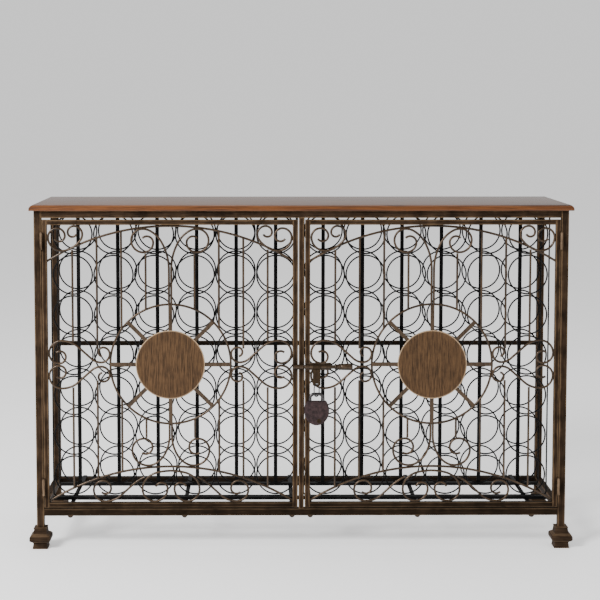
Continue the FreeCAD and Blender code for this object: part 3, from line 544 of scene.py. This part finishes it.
class Bench:
    """Meshes added and shaped with Blender's own tools."""

    @staticmethod
    def clear() -> None:
        """Leave edit mode and deselect everything."""
        if bpy.context.object and bpy.context.object.mode != "OBJECT":
            bpy.ops.object.mode_set(mode="OBJECT")
        bpy.ops.object.select_all(action="DESELECT")

    @staticmethod
    def block(name: str, low: Vector, high: Vector) -> bpy.types.Object:
        """A block between two corners, with its place in its mesh.

        Args:
            name: The new piece's name.
            low: Its lowest corner.
            high: Its highest corner.

        Returns:
            The new piece.
        """
        Bench.clear()
        bpy.ops.mesh.primitive_cube_add(size=1.0, location=(low + high) / 2)
        piece = bpy.context.object
        piece.name = piece.data.name = name
        piece.scale = high - low
        bpy.ops.object.transform_apply(location=True, rotation=True, scale=True)
        return piece

    @staticmethod
    def drum(
        name: str, centre: Vector, radius: float, depth: float, axis: Axis, sides: int
    ) -> bpy.types.Object:
        """A round drum along an axis, with its place in its mesh.

        Args:
            name: The new piece's name.
            centre: The middle of the drum.
            radius: Its radius.
            depth: Its length.
            axis: The axis that it runs along.
            sides: How many sides it has.

        Returns:
            The new piece.
        """
        Bench.clear()
        quarter = math.pi / 2
        turn = {Axis.X: (0, quarter, 0), Axis.Y: (quarter, 0, 0), Axis.Z: (0, 0, 0)}[axis]
        bpy.ops.mesh.primitive_cylinder_add(
            vertices=sides, radius=radius, depth=depth, location=centre, rotation=turn
        )
        piece = bpy.context.object
        piece.name = piece.data.name = name
        bpy.ops.object.transform_apply(location=True, rotation=True, scale=True)
        return piece

    @staticmethod
    @contextmanager
    def editing(piece: bpy.types.Object) -> Iterator[None]:
        """Edit mode on one piece, with nothing selected.

        Args:
            piece: The piece to edit.
        """
        Bench.clear()
        bpy.context.view_layer.objects.active = piece
        piece.select_set(True)
        bpy.ops.object.mode_set(mode="EDIT")
        bpy.ops.mesh.select_all(action="DESELECT")
        yield
        bpy.ops.object.mode_set(mode="OBJECT")

    @staticmethod
    def pick_edges(test: Callable[[Vector, Vector], bool]) -> None:
        """Select edges of the piece in edit mode.

        Args:
            test: Tells from an edge's two ends whether it is selected.
        """
        bpy.ops.mesh.select_mode(type="EDGE")
        mesh = bpy.context.object.data
        shape = bmesh.from_edit_mesh(mesh)
        for edge in shape.edges:
            edge.select_set(test(edge.verts[0].co, edge.verts[1].co))
        bmesh.update_edit_mesh(mesh)

    @staticmethod
    def pick_faces(test: Callable[[Vector, Vector], bool]) -> None:
        """Select faces of the piece in edit mode.

        Args:
            test: Tells from a face's middle and normal whether it is selected.
        """
        bpy.ops.mesh.select_mode(type="FACE")
        mesh = bpy.context.object.data
        shape = bmesh.from_edit_mesh(mesh)
        for face in shape.faces:
            face.select_set(test(face.calc_center_median(), face.normal))
        bmesh.update_edit_mesh(mesh)

    @staticmethod
    def bevel(width: float, steps: int, profile: float = ROUND) -> None:
        """Bevel the selected edges of the piece in edit mode."""
        bpy.ops.mesh.bevel(offset=width, segments=steps, affect="EDGES", profile=profile)

    @staticmethod
    def mark_rub(piece: bpy.types.Object) -> None:
        """Mark every point outside the selected faces as rubbed.

        Args:
            piece: The piece, just out of edit mode.
        """
        calm = {index for face in piece.data.polygons if face.select for index in face.vertices}
        rub = piece.data.attributes.new(RUB_MARK, "FLOAT", "POINT")
        for point in piece.data.vertices:
            rub.data[point.index].value = 0.0 if point.index in calm else 1.0

    @staticmethod
    def smooth(piece: bpy.types.Object, degrees: float = 40.0) -> None:
        """Shade a piece smooth.

        Args:
            piece: The piece to shade.
            degrees: The widest angle between faces that is smoothed over.
        """
        Bench.clear()
        bpy.context.view_layer.objects.active = piece
        piece.select_set(True)
        bpy.ops.object.shade_smooth_by_angle(angle=math.radians(degrees))

    @staticmethod
    def copy(piece: bpy.types.Object, name: str, shift: Vector) -> bpy.types.Object:
        """A copy with its own mesh, moved in its mesh.

        Args:
            piece: The piece to copy.
            name: The copy's name.
            shift: How far it moves.

        Returns:
            The copy.
        """
        Bench.clear()
        bpy.context.view_layer.objects.active = piece
        piece.select_set(True)
        bpy.ops.object.duplicate(linked=False)
        copy = bpy.context.object
        copy.name = copy.data.name = name
        copy.location = shift
        bpy.ops.object.transform_apply(location=True, rotation=True, scale=True)
        return copy


def paint(piece: bpy.types.Object, material: bpy.types.Material) -> None:
    """Give a piece or a CAD node one material.

    Args:
        piece: What to paint.
        material: Its finish.
    """
    piece.data.materials.clear()
    piece.data.materials.append(material)


def stand_for(piece: bpy.types.Object, node: str, material: bpy.types.Material) -> None:
    """Let a new piece take the place of a CAD node, with a finish.

    Args:
        piece: The new piece.
        node: The node that it stands for.
        material: Its finish.
    """
    paint(piece, material)
    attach(piece, BODY_OF[node])
    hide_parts(node)
    LOG.info("%s stands for %s", piece.name, node)


def dress(node: str, material: bpy.types.Material) -> None:
    """Paint a CAD node that keeps its shape.

    Args:
        node: The node's name.
        material: Its finish.
    """
    paint(frame["nodes"][node], material)
    LOG.info("%s keeps its solid", node)


class Palette:
    """The finishes of the cabinet, each built once."""

    def __init__(self) -> None:
        """Build every material."""
        self.tube = {
            axis: RubbedBronze(f"rubbed_bronze_{axis.name.lower()}", Rub.EDGES, axis).material()
            for axis in Axis
        }
        # Painted shade: a darker copy of the bronze for the back rails, which stand in shade
        self.shade = RubbedBronze(
            "bronze_in_shade",
            Rub.EDGES,
            Axis.X,
            dark=(0.004, 0.003, 0.0024),
            warm=(0.012, 0.0082, 0.0058),
            gold=(0.035, 0.023, 0.014),
        ).material()
        # Painted shade: a darker copy of the bronze for the bottom rails, which get less light
        self.low_rail_painted_shade = RubbedBronze(
            "bronze_low_rail_painted_shade",
            Rub.EDGES,
            Axis.X,
            dark=(0.006, 0.0039, 0.0026),
            warm=(0.0185, 0.0113, 0.0069),
            gold=(0.06, 0.0385, 0.0217),
        ).material()
        # Rods: golden on the faces that look forwards and up, rubbed and with a painted highlight
        self.rod = RubbedBronze(
            "rubbed_bronze_rod",
            Rub.OUTER_FACES,
            Axis.Z,
            dark=(0.006, 0.0038, 0.0026),
            warm=(0.019, 0.0117, 0.007),
            gold=(0.066, 0.0415, 0.0238),
            metal=0.55,
            rough=0.44,
            polish=0.3,
        ).material()
        self.casting = RubbedBronze(
            "rubbed_casting",
            Rub.EDGES,
            Axis.X,
            dark=(0.013, 0.0082, 0.0056),
            warm=(0.045, 0.028, 0.017),
            gold=(0.1, 0.064, 0.037),
        ).material()
        # Hinges: bright gold on the faces that look forwards and up, rubbed and with a painted
        # highlight
        self.hinge = RubbedBronze(
            "rubbed_hinge_painted_highlight",
            Rub.OUTER_FACES,
            Axis.Z,
            dark=(0.013, 0.0082, 0.0056),
            warm=(0.05, 0.031, 0.02),
            gold=(0.2, 0.135, 0.085),
            metal=0.7,
            rough=0.42,
        ).material()
        self.black = BlackWire().material()
        self.wood = StainedWood().material()
        # The disc's marked rim takes the lighter rim colour: rubbing and a painted highlight of its
        # rolled edge
        self.disc = BrushedMetal(
            "brushed_bronze",
            low=(0.02, 0.0104, 0.0047),
            high=(0.11, 0.059, 0.026),
            grain=Axis.Z,
            metal=0.5,
            rough=0.46,
            streaks=500.0,
        ).material()
        self.tab = BrushedMetal(
            "worn_brass", low=(0.014, 0.0085, 0.0045), high=(0.05, 0.031, 0.016), grain=Axis.Z
        ).material()
        self.steel = BrushedMetal(
            "dark_chrome",
            low=(0.018, 0.017, 0.0175),
            high=(0.1, 0.094, 0.096),
            grain=Axis.X,
            metal=0.9,
            rough=0.22,
        ).material()
        self.plug = BrushedMetal(
            "dull_brass", low=(0.012, 0.0075, 0.0045), high=(0.045, 0.028, 0.014), grain=Axis.Y
        ).material()
        self.plum = PlumPaint().material()


@dataclass
class WoodenTop:
    """The board on top, with a rounded nose along its front and ends."""

    nose: float = 0.0098
    nose_steps: int = 7
    foot: float = 0.0012
    foot_steps: int = 4
    slope: float = 0.42

    def build(self, palette: Palette) -> None:
        """Model and dress the board.

        Args:
            palette: The finishes.
        """
        low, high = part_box("wood_top")
        board = Bench.block("top_board", low, high)
        arrises = ((high.z, self.nose, self.nose_steps), (low.z, self.foot, self.foot_steps))
        for level, radius, steps in arrises:
            with Bench.editing(board):
                Bench.pick_edges(
                    lambda a, b: max(abs(a.z - level), abs(b.z - level)) < HAIR
                    and min(a.y, b.y) < high.y - HAIR
                )
                Bench.bevel(radius, steps, self.slope)
        Bench.smooth(board)
        stand_for(board, "wood_top", palette.wood)


@dataclass
class TubeFrame:
    """Square tubes with rounded corners: the posts, the rails and the doors' own frames."""

    corner: float = 0.0016
    corner_steps: int = 3
    rubbed_width: float = 0.0028
    # An edge longer than any tube is wide runs along its tube
    long_edge: float = 0.02

    def runs(self) -> dict[str, Axis]:
        """List the tubes.

        Returns:
            The way that each tube runs, by its node's name.
        """
        found = {"back_mid_rail": Axis.X, "centre_mullion": Axis.Z}
        for side in Side:
            found[f"front_{side.value}_post"] = found[f"back_{side.value}_post"] = Axis.Z
            for level in LEVELS:
                found[f"{side.value}_{level}_rail"] = Axis.Y
                found[f"{side.value}_door_{level}_rail"] = Axis.X
            for stile in ("hinge", "meeting"):
                found[f"{side.value}_door_{stile}_stile"] = Axis.Z
        for end in ENDS:
            for level in LEVELS:
                found[f"{end}_{level}_rail"] = Axis.X
        return found

    def tube(self, node: str, axis: Axis) -> bpy.types.Object:
        """Model one tube.

        Args:
            node: The node that it stands for.
            axis: The way that it runs.

        Returns:
            The new piece.
        """
        low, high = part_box(node)
        piece = Bench.block(f"{node}_tube", low, high)
        run = axis.value
        across = [index for index in range(3) if index != run]
        with Bench.editing(piece):
            Bench.pick_edges(lambda a, b: abs(a[run] - b[run]) > self.long_edge)
            Bench.bevel(self.corner, self.corner_steps)
            Bench.pick_faces(lambda at, out: max(abs(out[i]) for i in across) > SQUARE_ON)
            bpy.ops.mesh.inset(thickness=self.rubbed_width, use_individual=True)
        Bench.mark_rub(piece)
        Bench.smooth(piece)
        return piece

    def build(self, palette: Palette) -> None:
        """Model and dress every tube.

        Args:
            palette: The finishes.
        """
        for node, axis in self.runs().items():
            finish = palette.tube[axis]
            # Painted shade: the back rails take the darker copy of the bronze
            if axis is Axis.X and node.startswith("back_"):
                finish = palette.shade
            # Painted shade: the front bottom rail and the doors' bottom rails take a darker copy of
            # the bronze
            elif axis is Axis.X and node.endswith("bottom_rail"):
                finish = palette.low_rail_painted_shade
            stand_for(self.tube(node, axis), node, finish)


@dataclass
class CastFeet:
    """The four cast pedestal feet: one is modelled and the others are copies."""

    base_width: float = 0.0396
    base_height: float = 0.001
    edge: float = 0.0011
    edge_steps: int = 2
    edge_profile: float = 0.6
    shortest_edge: float = 5e-4
    # A face of the casting is upright when its normal has this share across
    upright: float = 0.62
    rubbed_width: float = 0.0016
    smooth_angle: float = 30.0
    # Width and height above the floor of each ring of the casting, from the base up
    rings: tuple[tuple[float, float], ...] = (
        (0.0386, 0.0045),
        (0.0362, 0.0125),
        (0.0356, 0.0148),
        (0.0400, 0.0172),
        (0.0490, 0.0200),
        (0.0540, 0.0228),
        (0.0545, 0.0268),
        (0.0538, 0.0322),
        (0.0500, 0.0346),
        (0.0435, 0.0368),
        (0.0372, 0.0388),
        (0.0355, 0.0402),
        (0.0350, 0.0430),
        (0.0330, 0.0490),
        (0.0322, 0.0518),
        (0.0342, 0.0530),
        (0.0342, 0.0550),
    )

    def first(self) -> bpy.types.Object:
        """Model the front left foot from its base up.

        Returns:
            The new piece.
        """
        low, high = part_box("front_left_foot")
        middle = (low + high) / 2
        half = self.base_width / 2
        start = Vector((middle.x - half, middle.y - half, 0.0))
        end = Vector((middle.x + half, middle.y + half, self.base_height))
        foot = Bench.block("front_left_foot_casting", start, end)
        with Bench.editing(foot):
            Bench.pick_faces(lambda at, out: out.z > SQUARE_ON)
            width, level = self.base_width, self.base_height
            for next_width, next_level in self.rings:
                rise = (0, 0, next_level - level)
                bpy.ops.mesh.extrude_region_move(TRANSFORM_OT_translate={"value": rise})
                share = next_width / width
                centre = (middle.x, middle.y, next_level)
                bpy.ops.transform.resize(value=(share, share, 1), center_override=centre)
                width, level = next_width, next_level
            Bench.pick_edges(self.is_arris(middle))
            Bench.bevel(self.edge, self.edge_steps, self.edge_profile)
            Bench.pick_faces(
                lambda at, out: max(abs(out.x), abs(out.y)) > self.upright
                and at.z > 2 * self.base_height
            )
            bpy.ops.mesh.inset(thickness=self.rubbed_width, use_individual=False)
        Bench.mark_rub(foot)
        Bench.smooth(foot, self.smooth_angle)
        return foot

    def is_arris(self, middle: Vector) -> Callable[[Vector, Vector], bool]:
        """A test for the four upright corner lines of the casting.

        Args:
            middle: The middle of the foot.

        Returns:
            The test, for the two ends of an edge.
        """

        def on_diagonal(point: Vector) -> bool:
            """The point is as far from the middle along X as along Y."""
            return abs(abs(point.x - middle.x) - abs(point.y - middle.y)) < SPECK

        def test(a: Vector, b: Vector) -> bool:
            """Both ends lie on a diagonal, at different heights."""
            return on_diagonal(a) and on_diagonal(b) and abs(a.z - b.z) > self.shortest_edge

        return test

    def build(self, palette: Palette) -> None:
        """Model one foot, copy it to the other corners and dress them.

        Args:
            palette: The finishes.
        """
        first = self.first()
        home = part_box("front_left_foot")[0]
        feet = {"front_left_foot": first}
        for end in ENDS:
            for side in Side:
                node = f"{end}_{side.value}_foot"
                if node not in feet:
                    feet[node] = Bench.copy(first, f"{node}_casting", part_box(node)[0] - home)
        for node, foot in feet.items():
            stand_for(foot, node, palette.casting)


@dataclass
class GrilleDoor:
    """What a door carries in its frame: rods, scrolls and the medallion."""

    side: Side
    disc_sides: int = 128
    rim: float = 0.0034
    # Width of the rim that is painted lighter: rubbing and a painted highlight
    highlight_rim: float = 0.00408
    sink: float = 0.0008
    roll: float = 0.0009
    roll_steps: int = 3
    # Shares of the radius that the crowned face is stepped in by, and of the sink that it rises by
    crown: tuple[float, ...] = (0.22, 0.3, 0.45)
    crown_step: float = 0.7
    crown_rise: float = 0.6

    def disc(self) -> bpy.types.Object:
        """Model the medallion's disc, with a rolled rim and a faintly crowned face, its outer rim
        marked to be painted lighter as rubbing and a painted highlight.

        Returns:
            The new piece.
        """
        low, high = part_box(f"{self.side.value}_door_medallion_disc")
        radius = (high.x - low.x) / 2
        middle = (low + high) / 2
        name = f"{self.side.value}_medallion_plate"
        disc = Bench.drum(name, middle, radius, high.y - low.y, Axis.Y, self.disc_sides)
        with Bench.editing(disc):
            Bench.pick_faces(lambda at, out: out.y < -SQUARE_ON)
            bpy.ops.mesh.inset(thickness=self.rim)
            bpy.ops.transform.translate(value=(0, self.sink, 0))
            for share in self.crown:
                bpy.ops.mesh.inset(thickness=radius * share * self.crown_step)
                bpy.ops.transform.translate(value=(0, -self.sink * share * self.crown_rise, 0))
            Bench.pick_edges(
                lambda a, b: abs(math.dist(a.xz, middle.xz) - radius) < HAIR
                and abs(a.y - b.y) < SPECK
            )
            Bench.bevel(self.roll, self.roll_steps)
            # Outside this circle the disc is marked to be painted lighter: rubbing and a painted
            # highlight
            Bench.pick_faces(lambda at, out: math.dist(at.xz, middle.xz) < radius - self.highlight_rim)
        Bench.mark_rub(disc)
        Bench.smooth(disc)
        return disc

    def build(self, palette: Palette) -> None:
        """Model the disc and dress the door's rods.

        Args:
            palette: The finishes.
        """
        name = f"{self.side.value}_door"
        for kind in ROD_WORK:
            dress(f"{name}_{kind}", palette.rod)
        dress(f"{name}_hinge_knuckles", palette.hinge)
        stand_for(self.disc(), f"{name}_medallion_disc", palette.disc)


@dataclass
class RingRack:
    """One rack of wire rings with its frame."""

    side: Side

    def build(self, palette: Palette) -> None:
        """Dress the rings and their frame.

        Args:
            palette: The finishes.
        """
        for kind in ("front_rings", "back_rings", "frame"):
            dress(f"{self.side.value}_rack_{kind}", palette.black)


class Underframe:
    """What carries the racks, and the hinges on the posts."""

    def build(self, palette: Palette) -> None:
        """Dress the bars, bolts and hinges.

        Args:
            palette: The finishes.
        """
        for node in ("rack_bearers", "rack_base_bars"):
            dress(node, palette.black)
        dress("bearer_bolts", palette.rod)
        for node in ("post_hinge_knuckles", "hinge_pins"):
            dress(node, palette.hinge)


@dataclass
class SlideBolt:
    """The bolt between the doors, with its turned grip, and what hangs from it."""

    sides: int = 40
    smooth_angle: float = 50.0
    tip_radius: float = 0.0036
    tip_share: float = 0.003
    # Share of the bolt's length and radius in metres at each station of the turning
    stations: tuple[tuple[float, float], ...] = (
        (0.006, 0.0044),
        (0.014, 0.0048),
        (0.636, 0.0048),
        (0.638, 0.0074),
        (0.642, 0.008),
        (0.662, 0.008),
        (0.667, 0.0074),
        (0.67, 0.0066),
        (0.708, 0.0066),
        (0.711, 0.0076),
        (0.718, 0.008),
        (0.75, 0.0081),
        (0.755, 0.0076),
        (0.764, 0.0076),
        (0.769, 0.0081),
        (0.86, 0.0083),
        (0.93, 0.0085),
        (0.962, 0.0086),
        (0.982, 0.0083),
        (0.993, 0.0076),
        (1.0, 0.0066),
    )

    def bolt(self) -> bpy.types.Object:
        """Turn the bolt from its tip to the end of its grip.

        Returns:
            The new piece.
        """
        low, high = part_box("latch_bolt")
        length = high.x - low.x
        middle = (low + high) / 2
        start = self.tip_share * length
        centre = Vector((low.x + start / 2, middle.y, middle.z))
        bolt = Bench.drum("turned_bolt", centre, self.tip_radius, start, Axis.X, self.sides)
        with Bench.editing(bolt):
            Bench.pick_faces(lambda at, out: out.x > SQUARE_ON)
            radius, reach = self.tip_radius, start
            for share, next_radius in self.stations:
                step = share * length - reach
                bpy.ops.mesh.extrude_region_move(TRANSFORM_OT_translate={"value": (step, 0, 0)})
                grow = next_radius / radius
                at = (low.x + share * length, middle.y, middle.z)
                bpy.ops.transform.resize(value=(1, grow, grow), center_override=at)
                radius, reach = next_radius, share * length
        Bench.smooth(bolt, self.smooth_angle)
        return bolt

    def build(self, palette: Palette) -> None:
        """Model the bolt and dress the latch.

        Args:
            palette: The finishes.
        """
        stand_for(self.bolt(), "latch_bolt", palette.rod)
        for node in ("latch_guides", "latch_keeper"):
            dress(node, palette.rod)
        dress("hasp_tab", palette.tab)
        for node in ("lock_ring", "padlock_shackle"):
            dress(node, palette.steel)
        dress("padlock_body", palette.plum)
        dress("padlock_cylinder", palette.plug)


@dataclass(frozen=True)
class Lamp:
    """One soft square light, with its width in metres and its power in watts."""

    name: str
    at: Point
    aim: Point
    size: float
    power: float

    def hang(self) -> None:
        """Hang the light and turn it to the point that it faces."""
        light = bpy.data.lights.new(self.name, "AREA")
        light.size = self.size
        light.energy = self.power
        lamp = bpy.data.objects.new(self.name, light)
        lamp.location = self.at
        lamp.rotation_mode = "QUATERNION"
        lamp.rotation_quaternion = (Vector(self.aim) - Vector(self.at)).to_track_quat("-Z", "Y")
        bpy.context.scene.collection.objects.link(lamp)


@dataclass
class Studio:
    """The pale floor, the soft lights and the camera."""

    lens: float = 88.6
    sensor: float = 36.0
    eye: Point = (-0.106, -3.9786, 1.1619)
    # Degrees that the camera is tipped down, and turned to the left
    pitch: float = 4.098
    yaw: float = -0.3645
    shift: tuple[float, float] = (0.05, -0.15)
    # Strength of the air as a light, and as it is seen
    air_light: float = 0.56
    air_seen: float = 0.97
    floor_size: float = 60.0
    floor_white: Colour = (0.93, 0.93, 0.93)
    floor_rough: float = 0.9
    floor_glow: float = 0.44
    lamps: tuple[Lamp, ...] = (
        Lamp("key_light", (-2.9, -3.0, 2.9), (0, 0, 0.5), 1.4, 330.0),
        Lamp("fill_light", (2.8, -3.6, 2.0), (0, 0, 0.4), 2.2, 30.0),
        Lamp("top_light", (0.2, 0.9, 3.4), (0, 0, 0.9), 2.4, 30.0),
    )

    def floor(self) -> None:
        """Lay a wide pale floor."""
        Bench.clear()
        bpy.ops.mesh.primitive_plane_add(size=self.floor_size, location=(0, 0, 0))
        floor = bpy.context.object
        floor.name = "studio_floor"
        white = ShaderTree("studio_white").set(
            Base_Color=self.floor_white,
            Roughness=self.floor_rough,
            Emission_Color=(1.0, 1.0, 1.0),
            Emission_Strength=self.floor_glow,
        )
        paint(floor, white)

    def lights(self) -> None:
        """Light the room and hang the lamps."""
        world = bpy.data.worlds.new("studio_air")
        bpy.context.scene.world = world
        world.use_nodes = True
        air = next(node for node in world.node_tree.nodes if node.type == "BACKGROUND")
        air.inputs["Color"].default_value = (1.0, 1.0, 1.0, 1.0)
        seen = world.node_tree.nodes.new("ShaderNodeLightPath")
        glow = world.node_tree.nodes.new("ShaderNodeMapRange")
        glow.inputs["To Min"].default_value = self.air_light
        glow.inputs["To Max"].default_value = self.air_seen
        world.node_tree.links.new(seen.outputs["Is Camera Ray"], glow.inputs["Value"])
        world.node_tree.links.new(glow.outputs["Result"], air.inputs["Strength"])
        for lamp in self.lamps:
            lamp.hang()

    def camera(self) -> None:
        """Set the camera at the viewing angle."""
        view = bpy.data.cameras.new("photo_camera")
        view.lens = self.lens
        view.sensor_width = self.sensor
        view.shift_x, view.shift_y = self.shift
        camera = bpy.data.objects.new("photo_camera", view)
        camera.location = self.eye
        camera.rotation_euler = (math.radians(90.0 - self.pitch), 0.0, math.radians(self.yaw))
        bpy.context.scene.collection.objects.link(camera)
        bpy.context.scene.camera = camera

    def build(self) -> None:
        """Set up the whole studio."""
        self.floor()
        self.lights()
        self.camera()


def main() -> None:
    """Build the looks of the cabinet, piece by piece."""
    logging.basicConfig(level=logging.INFO, format="%(message)s")
    palette = Palette()
    WoodenTop().build(palette)
    TubeFrame().build(palette)
    CastFeet().build(palette)
    for side in Side:
        GrilleDoor(side).build(palette)
        RingRack(side).build(palette)
    Underframe().build(palette)
    SlideBolt().build(palette)
    Studio().build()


if __name__ == "__main__":
    main()
